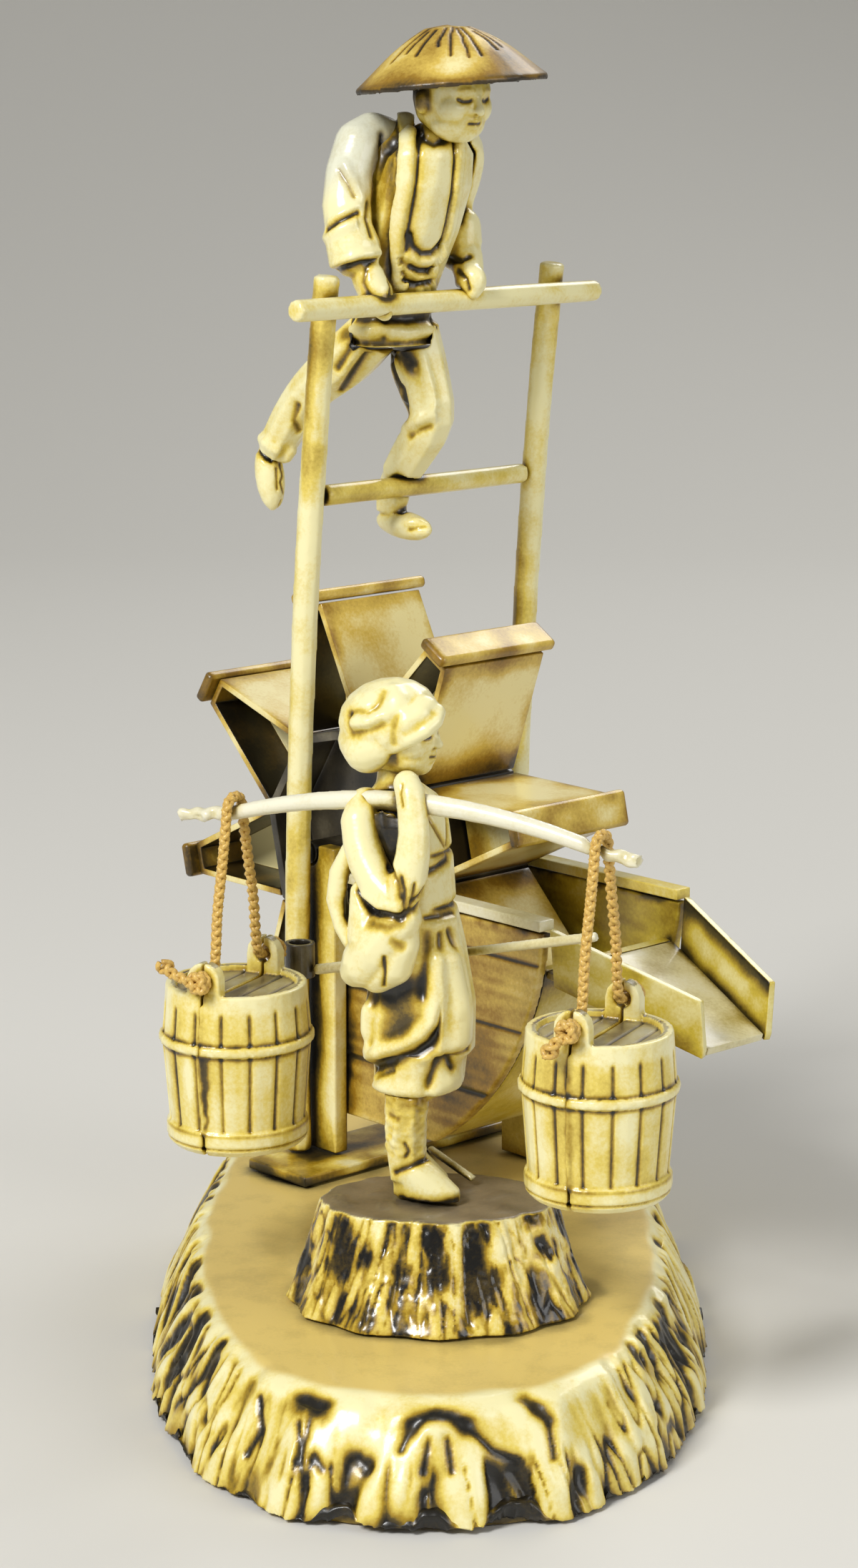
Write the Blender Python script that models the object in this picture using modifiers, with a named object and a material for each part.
"""Ivory celluloid diorama: a treader on a water wheel, and a water carrier with two buckets.

Metres, +Z up. The origin is the middle of the underside of the base, +X is to the right and
+Y goes away from the side that the water carrier stands on.
"""
import math

import bmesh
import bpy
from mathutils import Euler, Vector

# Fits
GLUE_GAP = 0.0003
AXLE_CLEARANCE = 0.0003
ROPE_CLEARANCE = 0.00035

# Base and stump
BASE_LENGTH = 0.136
BASE_WIDTH = 0.0712
BASE_HEIGHT = 0.013
BASE_TOP_LENGTH = 0.121
BASE_TOP_WIDTH = 0.0585
BASE_SQUARENESS = 2.45
BASE_WALL = 0.0018
BASE_RIM_ROUND = 0.0009
PLATE_THICKNESS = 0.0012
PLATE_INSET = 0.0006
STUMP_X = 0.0012
STUMP_Y = -0.0275
STUMP_HEIGHT = 0.0127
STUMP_FOOT_LENGTH = 0.0364
STUMP_FOOT_WIDTH = 0.0300
STUMP_TOP_LENGTH = 0.0284
STUMP_TOP_WIDTH = 0.0190
PEG_LENGTH = 0.0076
PEG_DIAMETER = 0.0012

# Mill frame
MILL_X = -0.0028
MILL_Y = 0.0395
MILL_YAW = math.radians(-47.0)
SILL_LENGTH = 0.0495
SILL_WIDTH = 0.0116
SILL_THICKNESS = 0.0014
SILL_FRONT = 0.0092
SILL_SHIFT = -0.0025
POST_SPAN = 0.0406
POST_DIAMETER = 0.0035
POST_TOP = 0.133
POST_LEAN = 0.0068
POST_BOW = 0.0023
HANDRAIL_LENGTH = 0.0541
HANDRAIL_DIAMETER = 0.0031
HANDRAIL_HEIGHT = 0.1291
HANDRAIL_SHIFT = -0.0015
LOWER_RAIL_DIAMETER = 0.0029
LOWER_RAIL_HEIGHT = 0.1043
UPRIGHT_WIDTH = 0.0076
UPRIGHT_SHIFT = 0.0012
UPRIGHT_THICKNESS = 0.0023
UPRIGHT_TOP_ABOVE_AXLE = 0.0012
WORKS_SHIFT = -0.0022
WORKS_CLEARANCE = 0.0004

# Water wheel
AXLE_HEIGHT = 0.0560
AXLE_DIAMETER = 0.0030
WHEEL_RADIUS = 0.0346
WHEEL_PHASE = math.radians(102.9)
PADDLE_COUNT = 8
PADDLE_TIP_WIDTH = 0.0044
PADDLE_SHEET = 0.0009
PADDLE_WEB = 0.0030
CAP_OVERHANG = 0.00145
CAP_WIDTH = 0.0048
CAP_THICKNESS = 0.0016
CAP_ROUND = 0.0004
DRUM_RADIUS = 0.0167
DRUM_WALL = 0.0012
DRUM_WEB = 0.0060

# Casing and chute
PANEL_THICKNESS = 0.0015
PANEL_SIDE_CLEARANCE = 0.0014
PANEL_BACK = 0.0037
PANEL_TOP_BELOW_AXLE = 0.0040
PANEL_BOTTOM_BELOW_AXLE = 0.0360
CASING_RADIUS = 0.0420
PANEL_RAIL_WIDTH = 0.0026
PANEL_RAIL_THICKNESS = 0.0014
BED_THICKNESS = 0.0012
BED_LIP_BELOW_AXLE = 0.0093
BED_STEPS = 16
CASING_FOOT_LENGTH = 0.0060
CASING_FOOT_WIDTH = 0.0060
CHUTE_LENGTH = 0.0222
CHUTE_SLOPE = math.radians(19.2)
CHUTE_MOUTH_WIDTH = 0.0103
CHUTE_MOUTH_SKEW = 0.0010
CHUTE_WALL_HEIGHT = 0.0062
CHUTE_SHEET = 0.0010
CHUTE_MOUTH_CUT = 0.0022

# Carrier, pole, ladle and buckets
CARRIER_X = 0.0010
CARRIER_Y = -0.0263
CARRIER_YAW = math.radians(-26.05)
POLE_DIAMETER = 0.0027
POLE_END_DIAMETER = 0.0019
POLE_LENGTH_LEFT = 0.0316
POLE_LENGTH_RIGHT = 0.0289
POLE_HEIGHT = 0.0750
POLE_SHIFT = -0.0011
POLE_SIDE = -0.0042
POLE_BOW = 0.0035
POLE_END_SLOPE = 0.13
BUCKET_REACH = 0.0240
BUCKET_HEIGHT = 0.0200
BUCKET_RIM_DIAMETER = 0.0172
BUCKET_BELLY_DIAMETER = 0.0182
BUCKET_FOOT_DIAMETER = 0.0166
BUCKET_WALL = 0.0012
BUCKET_LID_DROP = 0.0008
HOOP_HEIGHT = 0.0133
HOOP_WIDTH = 0.0009
HOOP_PROUD = 0.0004
FOOT_HOOP_WIDTH = 0.0020
EAR_LINE_HEIGHT = 0.0525
EAR_HOLE_ABOVE_RIM = 0.0018
EAR_HOLE_DIAMETER = 0.0022
EAR_WIDTH = 0.0044
EAR_THICKNESS = 0.0018
ROPE_DIAMETER = 0.00145
KNOT_DIAMETER = 0.0025
KNOT_LENGTH = 0.0012
LADLE_CUP_DIAMETER = 0.0038
LADLE_CUP_HEIGHT = 0.0044
LADLE_CUP_WALL = 0.0006
LADLE_HANDLE_DIAMETER = 0.0013

# Figures: one unit of the treader's and the carrier's own measures
TREADER_UNIT = 0.001
CARRIER_UNIT = 0.001

# Counts that set how finely round shapes are drawn
OVAL_STEPS = 64
STUMP_STEPS = 48
BASE_LOBES = 16
STUMP_LOBES = 12
ROD_RESOLUTION = 2
TURN_STEPS = 32
BODY_STEPS = 16
POST_STEPS = 8
PATH_STEPS = 3

# Mesh housekeeping
TUBE_UNIT = 0.001
WELD = 0.000002
SMOOTH_ANGLE = math.radians(40.0)
QUARTER_TURN = math.pi / 2.0

# Heights and places that several pieces share
BASE_TOP = BASE_HEIGHT
SILL_BOTTOM = BASE_TOP + GLUE_GAP
SILL_TOP = SILL_BOTTOM + SILL_THICKNESS
FRAME_FOOT = SILL_TOP + GLUE_GAP
STUMP_BOTTOM = BASE_TOP + GLUE_GAP
STUMP_TOP = STUMP_BOTTOM + STUMP_HEIGHT
UPRIGHT_OUTER = POST_SPAN / 2.0 - POST_DIAMETER / 2.0 - WORKS_CLEARANCE - abs(WORKS_SHIFT)
UPRIGHT_INNER = UPRIGHT_OUTER - UPRIGHT_THICKNESS
PANEL_OUTER = UPRIGHT_INNER - GLUE_GAP
PANEL_INNER = PANEL_OUTER - PANEL_THICKNESS
CAP_LENGTH = 2.0 * (PANEL_INNER - PANEL_SIDE_CLEARANCE)
PADDLE_LENGTH = CAP_LENGTH - 2.0 * CAP_OVERHANG
POLE_AT_ROPE = POLE_HEIGHT - POLE_BOW
BUCKET_RIM = -EAR_HOLE_ABOVE_RIM
BUCKET_BOTTOM = BUCKET_RIM - BUCKET_HEIGHT
EAR_PLACE = BUCKET_RIM_DIAMETER / 2.0 - EAR_THICKNESS / 2.0 - GLUE_GAP


def clear_scene():
    """Remove whatever objects the scene starts with."""
    for item in list(bpy.data.objects):
        bpy.data.objects.remove(item, do_unlink=True)


def new_collection(name):
    """Return a new collection, linked to the scene."""
    collection = bpy.data.collections.new(name)
    bpy.context.scene.collection.children.link(collection)
    return collection


def new_finish(name, colour, roughness):
    """Return a Principled material of one colour."""
    material = bpy.data.materials.new(name)
    material.use_nodes = True
    shader = material.node_tree.nodes["Principled BSDF"]
    shader.inputs["Base Color"].default_value = (*colour, 1.0)
    shader.inputs["Roughness"].default_value = roughness
    shader.inputs["Metallic"].default_value = 0.0
    return material


clear_scene()
PARTS = new_collection("celluloid_diorama")
CUTTERS = new_collection("celluloid_diorama_cutters")

IVORY = new_finish("ivory_celluloid", (0.80, 0.70, 0.38), 0.32)
PALE_IVORY = new_finish("pale_ivory_celluloid", (0.78, 0.75, 0.60), 0.35)
AMBER = new_finish("amber_stained_celluloid", (0.55, 0.36, 0.08), 0.40)
OCHRE = new_finish("ochre_celluloid_sheet", (0.58, 0.44, 0.05), 0.38)
TAN = new_finish("tan_celluloid", (0.50, 0.36, 0.14), 0.42)
BARK = new_finish("bark_stained_celluloid", (0.30, 0.24, 0.10), 0.50)
SMOKE = new_finish("dark_grey_celluloid", (0.10, 0.09, 0.07), 0.45)
CORD = new_finish("gold_braided_cord", (0.50, 0.26, 0.06), 0.80)


def add_frame(name, location, yaw=0.0, parent=None):
    """Return an empty that carries pieces."""
    empty = bpy.data.objects.new(name, None)
    empty.empty_display_size = 0.01
    empty.location = location
    empty.rotation_euler = (0.0, 0.0, yaw)
    empty.parent = parent
    PARTS.objects.link(empty)
    return empty


def add_part(name, data, finish, parent=None, location=(0.0, 0.0, 0.0), rotation=(0.0, 0.0, 0.0)):
    """Return a new named piece that shows the given mesh or curve."""
    part = bpy.data.objects.new(name, data)
    if not data.materials:
        data.materials.append(finish)
    part.location = location
    part.rotation_euler = rotation
    part.parent = parent
    PARTS.objects.link(part)
    return part


def hide_as_cutter(part):
    """Move a helper shape to the cutters."""
    for collection in list(part.users_collection):
        collection.objects.unlink(part)
    CUTTERS.objects.link(part)
    part.hide_render = True
    part.display_type = "WIRE"
    return part


def mesh_from(bm, name):
    """Return a smooth-shaded mesh of a bmesh, which is freed."""
    bmesh.ops.recalc_face_normals(bm, faces=bm.faces[:])
    mesh = bpy.data.meshes.new(name)
    bm.to_mesh(mesh)
    bm.free()
    mesh.shade_smooth()
    mesh.set_sharp_from_angle(angle=SMOOTH_ANGLE)
    return mesh


def evaluated_mesh(part, world=False):
    """Return a welded copy of a piece's finished mesh."""
    bpy.context.view_layer.update()
    graph = bpy.context.evaluated_depsgraph_get()
    mesh = bpy.data.meshes.new_from_object(part.evaluated_get(graph))
    if world:
        mesh.transform(part.matrix_world)
    bm = bmesh.new()
    bm.from_mesh(mesh)
    bmesh.ops.remove_doubles(bm, verts=bm.verts[:], dist=WELD)
    name = mesh.name
    bpy.data.meshes.remove(mesh)
    return mesh_from(bm, name)


def freeze(part):
    """Return the piece again with its curve or modifiers made a plain mesh."""
    mesh = evaluated_mesh(part)
    name = part.name
    finish = part.data.materials[0]
    parent = part.parent
    location = part.location.copy()
    rotation = part.rotation_euler.copy()
    bpy.data.objects.remove(part, do_unlink=True)
    mesh.name = name
    mesh.materials.clear()
    return add_part(name, mesh, finish, parent, location, rotation)


def boolean(part, tool, operation):
    """Add a Boolean with a helper shape to a piece."""
    step = part.modifiers.new(f"{operation.lower()}_{tool.name}", "BOOLEAN")
    step.operation = operation
    step.solver = "EXACT"
    step.object = tool


def join(part, tool):
    """Fuse a helper shape to a piece."""
    boolean(part, hide_as_cutter(tool), "UNION")


def carve(part, tool):
    """Cut a helper shape out of a piece."""
    boolean(part, hide_as_cutter(tool), "DIFFERENCE")


def fit_to(part, neighbour, gap=GLUE_GAP):
    """Cut a piece back from its neighbour, so that it lies the gap away from it."""
    mesh = evaluated_mesh(neighbour, world=True)
    bm = bmesh.new()
    bm.from_mesh(mesh)
    bm.normal_update()
    moves = [vert.normal * (gap * vert.calc_shell_factor()) for vert in bm.verts]
    for vert, move in zip(bm.verts, moves):
        vert.co += move
    bm.to_mesh(mesh)
    bm.free()
    carve(part, add_part(f"{neighbour.name}_room_in_{part.name}", mesh, SMOKE))


def ring_mesh(name, rings):
    """Return a closed mesh over rings of points, capped at both ends."""
    bm = bmesh.new()
    loops = [[bm.verts.new(point) for point in ring] for ring in rings]
    for first, second in zip(loops, loops[1:]):
        for k, corner in enumerate(first):
            after = (k + 1) % len(first)
            bm.faces.new((corner, first[after], second[after], second[k]))
    bm.faces.new(list(reversed(loops[0])))
    bm.faces.new(loops[-1])
    return mesh_from(bm, name)


def oval_ring(length_x, length_y, z, count, centre=(0.0, 0.0), squareness=2.0, lobes=0, swell=0.0):
    """Return points round a level oval, which may be squarish and lobed."""
    ring = []
    for k in range(count):
        angle = math.tau * k / count
        reach = 0.5 * (1.0 + swell * math.cos(lobes * angle))
        across = math.copysign(abs(math.cos(angle)) ** (2.0 / squareness), math.cos(angle))
        along = math.copysign(abs(math.sin(angle)) ** (2.0 / squareness), math.sin(angle))
        ring.append((centre[0] + length_x * reach * across, centre[1] + length_y * reach * along, z))
    return ring


def sized(rows, unit):
    """Return rows of a figure's measures as lengths."""
    return [tuple(value * unit for value in row) for row in rows]


def body_mesh(name, sections):
    """Return a closed mesh over level ovals, each given as z, x, y, depth along x and width along y."""
    rings = [oval_ring(depth, width, z, BODY_STEPS, (x, y)) for z, x, y, depth, width in sections]
    return ring_mesh(name, rings)


def box_mesh(name, low, high):
    """Return a box between two corners."""
    bm = bmesh.new()
    bmesh.ops.create_cube(bm, size=1.0)
    size = Vector(high) - Vector(low)
    bmesh.ops.scale(bm, vec=size, verts=bm.verts[:])
    bmesh.ops.translate(bm, vec=(Vector(high) + Vector(low)) / 2.0, verts=bm.verts[:])
    return mesh_from(bm, name)


def cylinder_mesh(name, diameter, length, steps):
    """Return a cylinder along Z, centred on the origin."""
    bm = bmesh.new()
    bmesh.ops.create_cone(
        bm, cap_ends=True, segments=steps, radius1=diameter / 2.0, radius2=diameter / 2.0, depth=length
    )
    return mesh_from(bm, name)


def ellipsoid_mesh(name, centre, sizes, tilt=(0.0, 0.0, 0.0)):
    """Return an ellipsoid of three full sizes, turned and then placed."""
    bm = bmesh.new()
    bmesh.ops.create_uvsphere(bm, u_segments=14, v_segments=9, radius=0.5)
    bmesh.ops.scale(bm, vec=sizes, verts=bm.verts[:])
    bmesh.ops.rotate(bm, cent=(0.0, 0.0, 0.0), matrix=Euler(tilt).to_matrix(), verts=bm.verts[:])
    bmesh.ops.translate(bm, vec=centre, verts=bm.verts[:])
    return mesh_from(bm, name)


def plate_curve(name, outline, thickness):
    """Return a flat outline in X and Y, thickened both ways along Z."""
    curve = bpy.data.curves.new(name, "CURVE")
    curve.dimensions = "2D"
    curve.fill_mode = "BOTH"
    curve.extrude = thickness / 2.0
    spline = curve.splines.new("POLY")
    spline.points.add(len(outline) - 1)
    for point, (x, y) in zip(spline.points, outline):
        point.co = (x, y, 0.0, 1.0)
    spline.use_cyclic_u = True
    return curve


def smooth_path(knots, steps=PATH_STEPS):
    """Return points on a smooth curve through knots of any number of values."""
    path = []
    for k in range(len(knots) - 1):
        before = knots[max(k - 1, 0)]
        after = knots[min(k + 2, len(knots) - 1)]
        for step in range(steps):
            t = step / steps
            path.append(tuple(
                0.5 * (2.0 * b + (c - a) * t + (2.0 * a - 5.0 * b + 4.0 * c - d) * t ** 2
                       + (3.0 * b - a - 3.0 * c + d) * t ** 3)
                for a, b, c, d in zip(before, knots[k], knots[k + 1], after)
            ))
    path.append(tuple(knots[-1]))
    return path


def tube_curve(name, path):
    """Return a capped round tube along points that are each x, y, z and diameter."""
    curve = bpy.data.curves.new(name, "CURVE")
    curve.dimensions = "3D"
    curve.bevel_depth = TUBE_UNIT
    curve.bevel_resolution = ROD_RESOLUTION
    curve.use_fill_caps = True
    spline = curve.splines.new("POLY")
    spline.points.add(len(path) - 1)
    for point, (x, y, z, diameter) in zip(spline.points, path):
        point.co = (x, y, z, 1.0)
        point.radius = diameter / 2.0 / TUBE_UNIT
    return curve


def add_rod(name, start, end, diameter, finish, parent=None):
    """Return a straight round rod as a mesh piece."""
    path = [(*start, diameter), (*end, diameter)]
    return freeze(add_part(name, tube_curve(name, path), finish, parent))


def add_limb(name, knots, finish, parent):
    """Return a limb as a mesh piece: a tapering tube through knots of x, y, z and diameter."""
    return freeze(add_part(name, tube_curve(name, smooth_path(knots)), finish, parent))


def add_turned(name, profile, finish, parent, location=(0.0, 0.0, 0.0), rotation=(0.0, 0.0, 0.0)):
    """Return a piece turned about its own Z from a profile that runs down its outer side."""
    mesh = bpy.data.meshes.new(name)
    edges = [(k, k + 1) for k in range(len(profile) - 1)]
    mesh.from_pydata([(radius, 0.0, z) for radius, z in profile], edges, [])
    part = add_part(name, mesh, finish, parent, location, rotation)
    turn = part.modifiers.new("turn", "SCREW")
    turn.steps = TURN_STEPS
    turn.render_steps = TURN_STEPS
    turn.use_merge_vertices = True
    turn.merge_threshold = 0.00001
    return freeze(part)


def build_base():
    """The oval bark-sided base shell and the flat plate that closes it."""
    shell_bottom = PLATE_THICKNESS + GLUE_GAP
    rise = BASE_TOP - shell_bottom

    def ring(share, z, inset=0.0, swell=0.0):
        length = BASE_LENGTH + (BASE_TOP_LENGTH - BASE_LENGTH) * share - 2.0 * inset
        width = BASE_WIDTH + (BASE_TOP_WIDTH - BASE_WIDTH) * share - 2.0 * inset
        return oval_ring(width, length, z, OVAL_STEPS, squareness=BASE_SQUARENESS,
                         lobes=BASE_LOBES, swell=swell)

    rings = [
        ring(1.0, BASE_TOP - BASE_WALL, BASE_WALL),
        ring(0.0, shell_bottom, BASE_WALL),
        ring(0.0, shell_bottom, swell=0.008),
        ring(0.30, shell_bottom + 0.40 * rise, swell=0.015),
        ring(0.80, BASE_TOP - BASE_RIM_ROUND, swell=0.012),
        ring(1.0, BASE_TOP, BASE_RIM_ROUND),
    ]
    add_part("base_shell", ring_mesh("base_shell", rings), IVORY)
    plate = [
        oval_ring(BASE_WIDTH - 2.0 * PLATE_INSET, BASE_LENGTH - 2.0 * PLATE_INSET, z, OVAL_STEPS,
                  squareness=BASE_SQUARENESS)
        for z in (0.0, PLATE_THICKNESS)
    ]
    add_part("base_plate", ring_mesh("base_plate", plate), TAN)


def build_stump():
    """The stump with its bark ridges, and the peg glued on its top."""
    place = (STUMP_X, STUMP_Y)
    middle = 0.5 * (STUMP_BOTTOM + STUMP_TOP)
    rings = [
        oval_ring(STUMP_FOOT_LENGTH, STUMP_FOOT_WIDTH, STUMP_BOTTOM, STUMP_STEPS, place,
                  lobes=STUMP_LOBES, swell=0.03),
        oval_ring(0.42 * STUMP_FOOT_LENGTH + 0.58 * STUMP_TOP_LENGTH,
                  0.42 * STUMP_FOOT_WIDTH + 0.58 * STUMP_TOP_WIDTH, middle, STUMP_STEPS, place,
                  lobes=STUMP_LOBES, swell=0.03),
        oval_ring(STUMP_TOP_LENGTH, STUMP_TOP_WIDTH, STUMP_TOP, STUMP_STEPS, place,
                  lobes=STUMP_LOBES, swell=0.015),
    ]
    add_part("stump", ring_mesh("stump", rings), BARK)
    rest = STUMP_TOP + GLUE_GAP + PEG_DIAMETER / 2.0
    low_end = Vector((STUMP_X + 0.15 * STUMP_TOP_LENGTH, STUMP_Y + 0.20 * STUMP_TOP_WIDTH, rest))
    high_end = low_end + PEG_LENGTH * Vector((-0.72, 0.60, 0.34)).normalized()
    add_rod("stump_peg", low_end, high_end, PEG_DIAMETER, PALE_IVORY)


def lean_at(z):
    """How far the bowed posts have leaned forward at a height."""
    share = (z - FRAME_FOOT) / (POST_TOP - FRAME_FOOT)
    return POST_LEAN * share - 4.0 * POST_BOW * share * (1.0 - share)


def build_frame(mill, works):
    """Sill, posts and rails in the mill's frame, and the bearing uprights beside the works."""
    sill = box_mesh(
        "mill_sill",
        (SILL_FRONT - SILL_WIDTH, SILL_SHIFT - SILL_LENGTH / 2.0, SILL_BOTTOM),
        (SILL_FRONT, SILL_SHIFT + SILL_LENGTH / 2.0, SILL_TOP),
    )
    add_part("mill_sill", sill, TAN, mill)
    for name, side in (("near", -1.0), ("far", 1.0)):
        heights = [FRAME_FOOT + (POST_TOP - FRAME_FOOT) * k / POST_STEPS for k in range(POST_STEPS + 1)]
        path = [(lean_at(z), side * POST_SPAN / 2.0, z, POST_DIAMETER) for z in heights]
        freeze(add_part(f"{name}_post", tube_curve(f"{name}_post", path), IVORY, mill))

    rail_x = lean_at(HANDRAIL_HEIGHT) + (POST_DIAMETER + HANDRAIL_DIAMETER) / 2.0 + GLUE_GAP
    half = HANDRAIL_LENGTH / 2.0
    handrail = add_rod(
        "handrail", (rail_x, HANDRAIL_SHIFT - half, HANDRAIL_HEIGHT),
        (rail_x, HANDRAIL_SHIFT + half, HANDRAIL_HEIGHT), HANDRAIL_DIAMETER, IVORY, mill,
    )
    reach = POST_SPAN / 2.0 - POST_DIAMETER / 2.0 - GLUE_GAP
    low_x = lean_at(LOWER_RAIL_HEIGHT)
    lower_rail = add_rod(
        "lower_rail", (low_x, -reach, LOWER_RAIL_HEIGHT), (low_x, reach, LOWER_RAIL_HEIGHT),
        LOWER_RAIL_DIAMETER, IVORY, mill,
    )

    saddle = AXLE_DIAMETER + 2.0 * AXLE_CLEARANCE
    for name, side in (("near", -1.0), ("far", 1.0)):
        span = sorted((side * UPRIGHT_INNER, side * UPRIGHT_OUTER))
        board = box_mesh(
            f"{name}_bearing_upright",
            (UPRIGHT_SHIFT - UPRIGHT_WIDTH / 2.0, span[0], FRAME_FOOT),
            (UPRIGHT_SHIFT + UPRIGHT_WIDTH / 2.0, span[1], AXLE_HEIGHT + UPRIGHT_TOP_ABOVE_AXLE),
        )
        upright = add_part(f"{name}_bearing_upright", board, IVORY, works)
        middle = side * (UPRIGHT_INNER + UPRIGHT_OUTER) / 2.0
        bore = add_part(
            f"{name}_saddle_round", cylinder_mesh("saddle_round", saddle, 2.0 * UPRIGHT_THICKNESS, 24),
            SMOKE, works, (0.0, middle, AXLE_HEIGHT), (QUARTER_TURN, 0.0, 0.0),
        )
        slot = add_part(
            f"{name}_saddle_slot",
            box_mesh("saddle_slot", (-saddle / 2.0, -UPRIGHT_THICKNESS, 0.0),
                     (saddle / 2.0, UPRIGHT_THICKNESS, saddle)),
            SMOKE, works, (0.0, middle, AXLE_HEIGHT),
        )
        carve(upright, bore)
        carve(upright, slot)
    return handrail, lower_rail


def paddle_mesh():
    """The folded wedge of one paddle: X goes out from the axle, Z along it."""
    foot = DRUM_RADIUS * math.cos(math.pi / PADDLE_COUNT) + GLUE_GAP
    tip = WHEEL_RADIUS - CAP_THICKNESS - GLUE_GAP
    half_slice = math.tan(math.pi / PADDLE_COUNT)
    foot_half = foot * half_slice - GLUE_GAP
    tip_half = PADDLE_TIP_WIDTH / 2.0
    fall = (foot_half - tip_half) / (tip - foot)
    skin = PADDLE_SHEET * math.hypot(1.0, fall)

    def half_width(x):
        return foot_half - fall * (x - foot)

    outline = [(foot, -foot_half), (tip, -tip_half), (tip, tip_half), (foot, foot_half)]
    wedge = add_part("paddle_wedge", plate_curve("paddle_wedge", outline, PADDLE_LENGTH), AMBER)
    wedge = freeze(wedge)
    low = foot - PADDLE_SHEET
    high = tip - PADDLE_SHEET
    hollow = [
        (low, skin - half_width(low)), (high, skin - half_width(high)),
        (high, half_width(high) - skin), (low, half_width(low) - skin),
    ]
    depth = (PADDLE_LENGTH - PADDLE_WEB) / 2.0
    tools = []
    for side in (-1.0, 1.0):
        tool = add_part("paddle_hollow", plate_curve("paddle_hollow", hollow, 2.0 * depth), SMOKE)
        tool.location.z = side * PADDLE_LENGTH / 2.0
        tool = freeze(tool)
        carve(wedge, tool)
        tools.append(tool)
    mesh = evaluated_mesh(wedge)
    mesh.materials.clear()
    for helper in (wedge, *tools):
        bpy.data.objects.remove(helper, do_unlink=True)
    return mesh


def build_wheel(works):
    """Axle, octagonal drum, paddles and caps on an empty that sits on the axle line."""
    axis = add_frame("wheel_axis", (0.0, 0.0, AXLE_HEIGHT), parent=works)
    along_axle = (QUARTER_TURN, 0.0, 0.0)
    axle_length = 2.0 * UPRIGHT_OUTER
    add_part("axle", cylinder_mesh("axle", AXLE_DIAMETER, axle_length, 24), PALE_IVORY, axis,
             rotation=along_axle)

    turned = (QUARTER_TURN, -WHEEL_PHASE + math.pi / PADDLE_COUNT, 0.0)
    drum_mesh = cylinder_mesh("hub_drum", 2.0 * DRUM_RADIUS, PADDLE_LENGTH, PADDLE_COUNT)
    drum = add_part("hub_drum", drum_mesh, SMOKE, axis, rotation=turned)
    bore = cylinder_mesh("drum_bore", AXLE_DIAMETER + 2.0 * AXLE_CLEARANCE, 2.0 * PADDLE_LENGTH, 24)
    carve(drum, add_part("drum_bore", bore, SMOKE, axis, rotation=along_axle))
    pocket = (PADDLE_LENGTH - DRUM_WEB) / 2.0
    inside = 2.0 * (DRUM_RADIUS - DRUM_WALL / math.cos(math.pi / PADDLE_COUNT))
    for side in (-1.0, 1.0):
        room = cylinder_mesh("drum_pocket", inside, 2.0 * pocket, PADDLE_COUNT)
        place = (0.0, side * PADDLE_LENGTH / 2.0, 0.0)
        carve(drum, add_part(f"drum_pocket_{side:+.0f}", room, SMOKE, axis, place, turned))

    wedge = paddle_mesh()
    wedge.name = "paddle"
    strip = box_mesh("paddle_cap", (-CAP_THICKNESS / 2.0, -CAP_WIDTH / 2.0, -CAP_LENGTH / 2.0),
                     (CAP_THICKNESS / 2.0, CAP_WIDTH / 2.0, CAP_LENGTH / 2.0))
    for k in range(PADDLE_COUNT):
        angle = WHEEL_PHASE - math.tau * k / PADDLE_COUNT
        turn = (-QUARTER_TURN, -angle, 0.0)
        out = WHEEL_RADIUS - CAP_THICKNESS / 2.0
        add_part(f"paddle_{k + 1}", wedge, AMBER, axis, rotation=turn)
        place = (out * math.cos(angle), 0.0, out * math.sin(angle))
        cap = add_part(f"paddle_cap_{k + 1}", strip, AMBER, axis, place, turn)
        rounding = cap.modifiers.new("edges", "BEVEL")
        rounding.width = CAP_ROUND
        rounding.segments = 1


def arc(radius, start, end, steps):
    """Return points on an arc round the axle, as reach and height, between two angles."""
    points = []
    for k in range(steps + 1):
        angle = start + (end - start) * k / steps
        points.append((radius * math.cos(angle), AXLE_HEIGHT + radius * math.sin(angle)))
    return points


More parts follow.
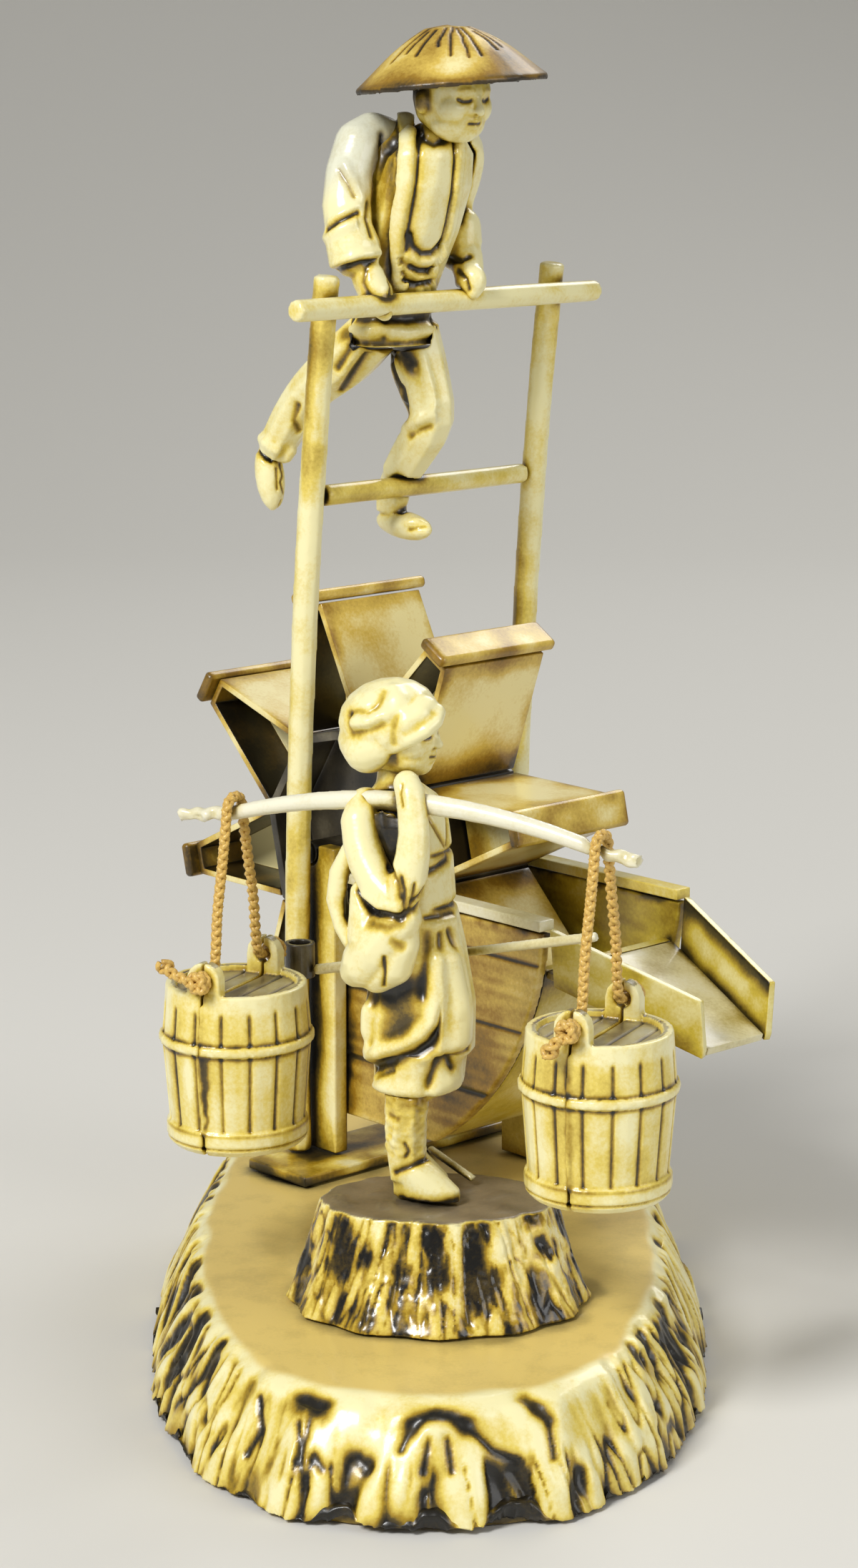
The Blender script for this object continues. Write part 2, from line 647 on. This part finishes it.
def build_casing(works):
    """Side panels with cap rails, the curved bed and its foot, and the chute."""
    top = AXLE_HEIGHT - PANEL_TOP_BELOW_AXLE
    bottom = AXLE_HEIGHT - PANEL_BOTTOM_BELOW_AXLE
    high = -math.asin(PANEL_TOP_BELOW_AXLE / CASING_RADIUS)
    low = -math.asin(PANEL_BOTTOM_BELOW_AXLE / CASING_RADIUS)
    outline = [(PANEL_BACK, top), (PANEL_BACK, bottom)] + arc(CASING_RADIUS, low, high, BED_STEPS)
    rail_start = UPRIGHT_SHIFT + UPRIGHT_WIDTH / 2.0 + GLUE_GAP
    rail_end = CASING_RADIUS * math.cos(high)
    for name, side in (("near", -1.0), ("far", 1.0)):
        y = side * (PANEL_INNER + PANEL_THICKNESS / 2.0)
        panel = add_part(
            f"{name}_side_panel", plate_curve(f"{name}_side_panel", outline, PANEL_THICKNESS), TAN, works,
            (0.0, y, 0.0), (QUARTER_TURN, 0.0, 0.0),
        )
        freeze(panel)
        rail = box_mesh(
            f"{name}_panel_rail",
            (rail_start, y - PANEL_RAIL_WIDTH / 2.0, top + GLUE_GAP),
            (rail_end, y + PANEL_RAIL_WIDTH / 2.0, top + GLUE_GAP + PANEL_RAIL_THICKNESS),
        )
        add_part(f"{name}_panel_rail", rail, IVORY, works)

    bed_outer = CASING_RADIUS - GLUE_GAP
    bed_inner = bed_outer - BED_THICKNESS
    bed_high = -math.asin(BED_LIP_BELOW_AXLE / bed_outer)
    bed_low = -math.asin(PANEL_BOTTOM_BELOW_AXLE / bed_outer)
    bed_outline = arc(bed_outer, bed_low, bed_high, BED_STEPS) + arc(bed_inner, bed_high, bed_low, BED_STEPS)
    bed_width = 2.0 * (PANEL_INNER - GLUE_GAP)
    freeze(add_part("casing_bed", plate_curve("casing_bed", bed_outline, bed_width), OCHRE, works,
                    rotation=(QUARTER_TURN, 0.0, 0.0)))
    foot_front = bed_outer * math.cos(bed_low)
    foot = box_mesh(
        "casing_foot",
        (foot_front - CASING_FOOT_WIDTH, bed_width / 2.0 - CASING_FOOT_LENGTH, BASE_TOP + GLUE_GAP),
        (foot_front, bed_width / 2.0, bottom - GLUE_GAP),
    )
    add_part("casing_foot", foot, TAN, works)
    build_chute(works, bed_outer * math.cos(bed_high), AXLE_HEIGHT - BED_LIP_BELOW_AXLE)


def build_chute(works, lip_reach, lip_height):
    """The tapering spout that runs down from the lip of the bed."""
    chute = add_frame("chute_frame", (lip_reach + GLUE_GAP, 0.0, lip_height), parent=works)
    chute.rotation_euler = (0.0, CHUTE_SLOPE, 0.0)
    lip_half = PANEL_INNER - GLUE_GAP
    mouth_half = CHUTE_MOUTH_WIDTH / 2.0
    floor_outline = [
        (0.0, -lip_half), (CHUTE_LENGTH, CHUTE_MOUTH_SKEW - mouth_half),
        (CHUTE_LENGTH, CHUTE_MOUTH_SKEW + mouth_half), (0.0, lip_half),
    ]
    casing_front = CASING_RADIUS - lip_reach
    low = (casing_front + CHUTE_SHEET * math.sin(CHUTE_SLOPE)) / math.cos(CHUTE_SLOPE)
    high = (casing_front - CHUTE_WALL_HEIGHT * math.sin(CHUTE_SLOPE)) / math.cos(CHUTE_SLOPE)
    freeze(add_part("chute_floor", plate_curve("chute_floor", floor_outline, CHUTE_SHEET), OCHRE, chute,
                    (0.0, 0.0, -CHUTE_SHEET / 2.0)))
    wall_outline = [
        (low, -CHUTE_SHEET), (CHUTE_LENGTH, -CHUTE_SHEET), (CHUTE_LENGTH, 0.0),
        (CHUTE_LENGTH - CHUTE_MOUTH_CUT, CHUTE_WALL_HEIGHT), (high, CHUTE_WALL_HEIGHT),
    ]
    beside = CHUTE_SHEET / 2.0 + GLUE_GAP
    for name, side in (("near", -1.0), ("far", 1.0)):
        taper = math.atan2(CHUTE_MOUTH_SKEW + side * (mouth_half - lip_half), CHUTE_LENGTH)
        place = (-side * beside * math.sin(taper), side * (lip_half + beside * math.cos(taper)), 0.0)
        outline = [(x / math.cos(taper), z) for x, z in wall_outline]
        freeze(add_part(
            f"chute_{name}_wall", plate_curve(f"chute_{name}_wall", outline, CHUTE_SHEET), OCHRE, chute,
            place, (QUARTER_TURN, 0.0, taper),
        ))


def build_treader(mill, handrail, lower_rail):
    """The figure that treads the wheel behind the handrail, facing +X of the mill."""
    jacket = add_part("treader_jacket", body_mesh("treader_jacket", sized([
        (123.2, 4.2, -6.4, 8.8, 12.6),
        (125.0, 4.2, -6.4, 8.8, 12.6),
        (128.5, 4.2, -6.1, 7.6, 11.2),
        (132.0, 5.4, -5.8, 8.0, 11.6),
        (138.0, 7.0, -5.2, 9.6, 13.2),
        (144.0, 8.4, -4.9, 10.4, 14.4),
        (148.0, 9.2, -4.7, 9.6, 13.2),
        (150.5, 9.8, -4.6, 6.8, 8.8),
        (152.0, 10.4, -4.5, 4.6, 5.0),
    ], TREADER_UNIT)), IVORY, mill)
    fit_to(jacket, handrail)

    skull, skull_sizes = sized([(13.0, -4.3, 155.7), (10.4, 9.8, 12.4)], TREADER_UNIT)
    nod = (0.0, math.radians(8.0), 0.0)
    head = add_part("treader_head", ellipsoid_mesh("treader_head", skull, skull_sizes, nod), IVORY, mill)
    fit_to(head, jacket)
    brim = sized([
        (0.0, 7.6), (3.0, 6.8), (8.0, 3.5), (12.4, 0.4), (12.3, -0.4), (7.8, 2.0), (0.0, 5.0),
    ], TREADER_UNIT)
    place = sized([(13.0, -4.3, 156.8)], TREADER_UNIT)[0]
    hat = add_turned("treader_hat", brim, AMBER, mill, place, (math.radians(3.0), math.radians(-4.0), 0.0))
    fit_to(hat, head)

    arms = {
        "right": [
            (9.8, -9.0, 150.0, 5.0), (8.6, -11.6, 148.8, 6.2), (6.4, -14.0, 145.0, 6.2),
            (3.8, -15.4, 141.4, 5.8), (5.2, -15.0, 137.8, 5.6), (8.0, -14.2, 134.4, 4.8),
            (10.0, -13.8, 132.4, 4.0),
        ],
        "left": [
            (9.8, -0.6, 149.6, 5.0), (8.8, 1.6, 148.2, 6.0), (6.8, 3.0, 145.0, 5.8),
            (4.6, 3.6, 141.2, 5.8), (5.8, 3.2, 137.6, 5.4), (8.0, 2.9, 134.4, 4.8),
            (10.0, 1.8, 132.4, 4.0),
        ],
    }
    hands = {"right": (10.6, -13.7, 131.6), "left": (10.6, 1.4, 131.6)}
    for side, knots in arms.items():
        arm = add_limb(f"treader_{side}_arm", sized(knots, TREADER_UNIT), PALE_IVORY, mill)
        grip = sized([hands[side], (5.0, 3.6, 4.6)], TREADER_UNIT)
        join(arm, add_part(f"treader_{side}_hand", ellipsoid_mesh(f"{side}_hand", *grip), IVORY, mill))
        fit_to(arm, jacket)
        fit_to(arm, handrail)

    legs = {
        "left": [
            (4.6, -3.8, 125.0, 7.8), (6.2, -3.4, 119.0, 7.8), (7.8, -3.1, 113.5, 6.4),
            (4.2, -3.1, 108.4, 5.6), (0.8, -3.1, 104.0, 4.8), (0.2, -3.1, 100.6, 4.4),
        ],
        "right": [
            (3.6, -9.4, 125.0, 7.2), (-1.6, -9.5, 121.2, 7.6), (-8.0, -9.7, 117.0, 6.4),
            (-12.2, -10.0, 112.6, 5.8), (-15.6, -10.3, 107.8, 5.0),
        ],
    }
    feet = {
        "left": ((2.6, -3.1, 99.0), (10.6, 4.2, 3.8), 5.0),
        "right": ((-16.4, -10.4, 104.6), (10.0, 4.2, 4.0), 80.0),
    }
    for side, knots in legs.items():
        leg = add_limb(f"treader_{side}_leg", sized(knots, TREADER_UNIT), IVORY, mill)
        centre, sizes, droop = feet[side]
        tilt = (0.0, math.radians(droop), 0.0)
        foot = ellipsoid_mesh(f"{side}_foot", *sized([centre, sizes], TREADER_UNIT), tilt)
        join(leg, add_part(f"treader_{side}_foot", foot, IVORY, mill))
        fit_to(leg, jacket)
        fit_to(leg, lower_rail)
    fit_to(bpy.data.objects["treader_left_leg"], bpy.data.objects["treader_right_leg"])


def pole_height(reach):
    """The height of the bowed pole's middle line at a distance from its middle."""
    share = min(1.0, abs(reach) / BUCKET_REACH)
    beyond = max(0.0, abs(reach) - BUCKET_REACH)
    return POLE_HEIGHT - POLE_BOW * share ** 2 - POLE_END_SLOPE * beyond


def pole_diameter(reach):
    """The pole's thickness at a distance from its middle."""
    return POLE_DIAMETER + (POLE_END_DIAMETER - POLE_DIAMETER) * min(1.0, abs(reach) / BUCKET_REACH)


def build_carrier(carrier):
    """The water carrier, who faces +X of its own frame, with the pole on the right shoulder."""
    reaches = [-POLE_LENGTH_LEFT + (POLE_LENGTH_LEFT + POLE_LENGTH_RIGHT) * k / 16 for k in range(17)]
    path = [(POLE_SHIFT + r, POLE_SIDE, pole_height(r), pole_diameter(r)) for r in reaches]
    pole = freeze(add_part("shoulder_pole", tube_curve("shoulder_pole", path), PALE_IVORY, carrier))

    kimono = add_part("carrier_kimono", body_mesh("carrier_kimono", sized([
        (39.8, -2.6, 0.0, 11.2, 11.0),
        (43.4, -2.6, 0.0, 12.0, 11.8),
        (44.2, -2.4, 0.0, 13.6, 13.0),
        (50.0, -2.4, 0.0, 13.8, 13.2),
        (57.0, -2.8, 0.0, 12.0, 12.2),
        (62.0, -3.2, 0.0, 10.2, 11.4),
        (68.0, -3.6, 0.0, 10.0, 11.6),
        (72.0, -4.2, 0.0, 9.8, 12.4),
        (74.5, -4.8, 0.0, 8.4, 11.0),
        (76.3, -5.2, 0.0, 5.2, 5.6),
        (78.5, -5.4, 0.0, 4.4, 4.6),
    ], CARRIER_UNIT)), IVORY, carrier)
    fit_to(kimono, pole)
    skull = sized([(-5.0, 0.0, 82.4), (10.0, 9.2, 10.8)], CARRIER_UNIT)
    head = add_part("carrier_head", ellipsoid_mesh("carrier_head", *skull), IVORY, carrier)
    fit_to(head, kimono)
    fit_to(head, pole)
    wrap = sized([(-6.4, 0.0, 84.0), (12.6, 11.6, 9.6)], CARRIER_UNIT)
    tilt = (0.0, math.radians(-14.0), 0.0)
    cloth = add_part("carrier_head_cloth", ellipsoid_mesh("carrier_head_cloth", *wrap, tilt), PALE_IVORY, carrier)
    fit_to(cloth, head)
    fit_to(cloth, pole)

    ends = sized([(-21.8, 10.1, 49.0), (17.9, 6.4, 58.5)], CARRIER_UNIT)
    handle_low, handle_high = (Vector(end) for end in ends)
    handle = add_rod("ladle_handle", handle_low, handle_high, LADLE_HANDLE_DIAMETER, PALE_IVORY, carrier)
    cup_top = LADLE_CUP_HEIGHT / 2.0
    cup_out = LADLE_CUP_DIAMETER / 2.0
    cup_in = cup_out - LADLE_CUP_WALL
    cup_place = handle_low - Vector((cup_out + GLUE_GAP, 0.0, 0.0)) + Vector((0.0, 0.0, cup_top / 2.0))
    add_turned("ladle_cup", [
        (0.0, LADLE_CUP_WALL - cup_top), (cup_in, LADLE_CUP_WALL - cup_top), (cup_in, cup_top),
        (cup_out, cup_top), (cup_out, -cup_top), (0.0, -cup_top),
    ], SMOKE, carrier, cup_place)
    build_carrier_arms(carrier, (kimono, pole, handle, head, cloth))
    build_carrier_legs(carrier)


def build_carrier_arms(carrier, neighbours):
    """The right arm bent up to hold the pole, with its hanging sleeve, and the left arm down to the ladle."""
    right = add_limb("carrier_right_arm", sized([
        (-6.0, -5.2, 72.8, 5.8), (-4.2, -7.0, 68.5, 6.0), (-1.0, -8.0, 64.2, 5.0),
    ], CARRIER_UNIT), IVORY, carrier)
    join(right, add_limb("carrier_right_forearm", sized([
        (-0.6, -8.0, 63.6, 4.8), (0.0, -7.4, 68.5, 5.2), (-1.2, -5.6, 73.8, 4.2), (-1.7, -4.6, 76.2, 3.4),
    ], CARRIER_UNIT), IVORY, carrier))
    sleeve = sized([(-4.3, -7.8, 59.9), (9.8, 3.8, 12.8)], CARRIER_UNIT)
    join(right, add_part("carrier_right_sleeve", ellipsoid_mesh("right_sleeve", *sleeve), IVORY, carrier))
    fist, fist_sizes = sized([(-1.8, -0.4, 1.2), (3.8, 5.2, 4.2)], CARRIER_UNIT)
    fist = Vector(fist) + Vector((0.0, POLE_SIDE, POLE_HEIGHT))
    join(right, add_part("carrier_right_grip", ellipsoid_mesh("right_grip", fist, fist_sizes), IVORY, carrier))

    left = add_limb("carrier_left_arm", sized([
        (-5.6, 5.2, 72.6, 5.8), (-5.4, 7.4, 67.5, 5.8), (-4.8, 8.6, 62.5, 5.2), (-4.1, 8.6, 54.8, 3.8),
    ], CARRIER_UNIT), IVORY, carrier)
    fist = sized([(-4.0, 8.5, 53.8), (3.8, 4.4, 5.2)], CARRIER_UNIT)
    join(left, add_part("carrier_left_grip", ellipsoid_mesh("left_grip", *fist), IVORY, carrier))
    for arm in (right, left):
        for neighbour in neighbours:
            fit_to(arm, neighbour)


def build_carrier_legs(carrier):
    """Leggings and boots, moulded as one piece with the plug that fills the hem; the left one steps back."""
    sole = STUMP_TOP + GLUE_GAP
    hem = 39.8 * CARRIER_UNIT
    low, high = sized([(-2.6, 0.0, 7.8, 9.6), (-2.6, 0.0, 8.2, 9.8)], CARRIER_UNIT)
    plug = [(hem - 4.0 * GLUE_GAP, *low), (hem - GLUE_GAP, *high)]
    legs = add_part("carrier_legs", body_mesh("carrier_legs", plug), IVORY, carrier)
    for name, back, side, boot_size in (("right", 0.0, -2.9, 8.8), ("left", -2.1, 1.4, 7.2)):
        back, side, boot_size, ankle, shin_up, boot_up = sized(
            [(back, side, boot_size, 4.6, 6.0, 2.2)], CARRIER_UNIT
        )[0]
        forward = back - (8.8 * CARRIER_UNIT - boot_size) / 2.0
        thick = ankle / 4.6
        shin = add_limb(f"{name}_shin", [
            (back - 2.6 * CARRIER_UNIT, side, hem - 2.0 * GLUE_GAP, 5.6 * thick),
            (back - 2.8 * CARRIER_UNIT, side, hem - shin_up, 5.2 * thick),
            (back - 2.4 * CARRIER_UNIT, side, sole + boot_up, 4.6 * thick),
        ], IVORY, carrier)
        rows = sized([
            (0.0, 0.0, 0.0, 4.4), (1.4, 0.0, 0.0, 4.6), (3.2, -1.2, -2.4, 4.6), (4.6, -2.3, -4.2, 4.4),
        ], CARRIER_UNIT)
        boot = body_mesh(f"{name}_boot", [
            (sole + up, forward + shift, side, boot_size + shorter, wide) for up, shift, shorter, wide in rows
        ])
        join(legs, shin)
        join(legs, add_part(f"{name}_boot", boot, IVORY, carrier))


def bucket_halves():
    """Meshes of the two moulded halves of a lidded bucket, with Z zero at its ear holes."""
    rim = BUCKET_RIM_DIAMETER / 2.0
    belly = BUCKET_BELLY_DIAMETER / 2.0
    foot = BUCKET_FOOT_DIAMETER / 2.0
    lid = BUCKET_RIM - BUCKET_LID_DROP
    hoop = BUCKET_BOTTOM + HOOP_HEIGHT
    low_hoop = BUCKET_BOTTOM + FOOT_HOOP_WIDTH + HOOP_WIDTH
    bucket = add_turned("bucket", [
        (0.0, lid), (rim - BUCKET_WALL, lid), (rim - BUCKET_WALL, BUCKET_RIM), (rim, BUCKET_RIM),
        (belly, hoop + HOOP_WIDTH / 2.0), (belly + HOOP_PROUD, hoop + HOOP_WIDTH / 2.0),
        (belly + HOOP_PROUD, hoop - HOOP_WIDTH / 2.0), (belly, hoop - HOOP_WIDTH / 2.0),
        (foot, low_hoop), (foot + HOOP_PROUD, low_hoop),
        (foot + HOOP_PROUD, BUCKET_BOTTOM + HOOP_WIDTH), (foot - HOOP_PROUD, BUCKET_BOTTOM),
        (0.0, BUCKET_BOTTOM),
    ], IVORY, None)
    bm = bmesh.new()
    room = BUCKET_HEIGHT - BUCKET_LID_DROP - 2.0 * BUCKET_WALL
    bmesh.ops.create_cone(bm, cap_ends=True, segments=TURN_STEPS, radius1=foot - BUCKET_WALL - HOOP_PROUD,
                          radius2=rim - BUCKET_WALL - HOOP_PROUD, depth=room)
    hollow = add_part("bucket_hollow", mesh_from(bm, "bucket_hollow"), SMOKE)
    hollow.location.z = (lid + BUCKET_BOTTOM) / 2.0
    helpers = [hollow]

    half = EAR_WIDTH / 2.0
    crown = [(half * math.cos(math.pi * k / 10), half * math.sin(math.pi * k / 10)) for k in range(11)]
    ear_outline = [(-half, lid - BUCKET_WALL / 2.0), (half, lid - BUCKET_WALL / 2.0)] + crown
    for side in (-1.0, 1.0):
        ear = add_part("bucket_ear", plate_curve("bucket_ear", ear_outline, EAR_THICKNESS), IVORY, None,
                       (0.0, side * EAR_PLACE, 0.0), (QUARTER_TURN, 0.0, 0.0))
        ear = freeze(ear)
        join(bucket, ear)
        helpers.append(ear)
    hole = add_part("ear_holes", cylinder_mesh("ear_holes", EAR_HOLE_DIAMETER, 2.0 * BUCKET_RIM_DIAMETER, 16),
                    SMOKE, rotation=(QUARTER_TURN, 0.0, 0.0))
    carve(bucket, hollow)
    carve(bucket, hole)
    helpers.append(hole)
    bucket = freeze(bucket)
    halves = []
    for side in (1.0, -1.0):
        spans = sorted((side * GLUE_GAP / 2.0, -side * BUCKET_BELLY_DIAMETER))
        away = box_mesh("bucket_seam", (spans[0], -BUCKET_HEIGHT, 2.0 * BUCKET_BOTTOM),
                        (spans[1], BUCKET_HEIGHT, BUCKET_HEIGHT))
        tool = add_part("bucket_seam", away, SMOKE)
        step = bucket.modifiers.new("seam", "BOOLEAN")
        step.operation = "DIFFERENCE"
        step.object = tool
        mesh = evaluated_mesh(bucket)
        mesh.materials.clear()
        halves.append(mesh)
        bucket.modifiers.clear()
        bpy.data.objects.remove(tool, do_unlink=True)
    for helper in (bucket, *helpers):
        bpy.data.objects.remove(helper, do_unlink=True)
    return halves


def rope_path():
    """Points of one cord in the bucket's frame: knot, ear hole, over the pole, ear hole, knot."""
    drop = POLE_AT_ROPE - EAR_LINE_HEIGHT
    loop = pole_diameter(BUCKET_REACH) / 2.0 + ROPE_CLEARANCE + ROPE_DIAMETER / 2.0
    outside = EAR_PLACE + EAR_THICKNESS / 2.0 + GLUE_GAP
    tail = outside + KNOT_LENGTH
    rise = [
        (tail, -0.0001, KNOT_DIAMETER), (outside, 0.0, KNOT_DIAMETER),
        (outside - GLUE_GAP / 3.0, 0.0, ROPE_DIAMETER), (EAR_PLACE, 0.0, ROPE_DIAMETER),
        (EAR_PLACE - EAR_THICKNESS / 2.0, 0.0, ROPE_DIAMETER),
        (EAR_PLACE - EAR_THICKNESS / 2.0 - 0.0006, 0.0003, ROPE_DIAMETER),
        (EAR_PLACE - EAR_THICKNESS / 2.0 - 0.0012, 0.0011, ROPE_DIAMETER),
        (0.78 * EAR_PLACE - 0.0009, 0.0036, ROPE_DIAMETER),
        (0.60 * EAR_PLACE, 0.40 * drop, ROPE_DIAMETER), (0.42 * EAR_PLACE, 0.70 * drop, ROPE_DIAMETER),
        (loop + 0.0002, 0.92 * drop, ROPE_DIAMETER),
    ]
    over = []
    for k in range(1, 6):
        angle = math.pi * k / 6
        over.append((loop * math.cos(angle), drop + loop * math.sin(angle), ROPE_DIAMETER))
    down = [(-y, z, diameter) for y, z, diameter in reversed(rise)]
    return [(0.0, -y, z, diameter) for y, z, diameter in rise + over + down]


def build_buckets(carrier):
    """Two buckets, each of two halves, hung on cords over the pole."""
    halves = bucket_halves()
    drop = POLE_AT_ROPE - EAR_LINE_HEIGHT
    for name, side in (("left", -1.0), ("right", 1.0)):
        place = (POLE_SHIFT + side * BUCKET_REACH, POLE_SIDE, POLE_AT_ROPE)
        rope_pivot = add_frame(f"{name}_rope_pivot", place, parent=carrier)
        bucket_pivot = add_frame(f"{name}_bucket_pivot", (0.0, 0.0, -drop), parent=rope_pivot)
        rope = tube_curve(f"{name}_rope", rope_path())
        add_part(f"{name}_rope", rope, CORD, rope_pivot, (0.0, 0.0, -drop))
        for half, mesh in zip(("right", "left"), halves):
            add_part(f"{name}_bucket_{half}_half", mesh, IVORY, bucket_pivot)


def build():
    """Build the whole diorama."""
    build_base()
    build_stump()
    mill = add_frame("mill_frame", (MILL_X, MILL_Y, 0.0), MILL_YAW)
    works = add_frame("works_frame", (0.0, WORKS_SHIFT, 0.0), parent=mill)
    handrail, lower_rail = build_frame(mill, works)
    build_wheel(works)
    build_casing(works)
    build_treader(mill, handrail, lower_rail)
    carrier = add_frame("carrier_frame", (CARRIER_X, CARRIER_Y, 0.0), CARRIER_YAW)
    build_carrier(carrier)
    build_buckets(carrier)
    bpy.context.view_layer.update()


build()
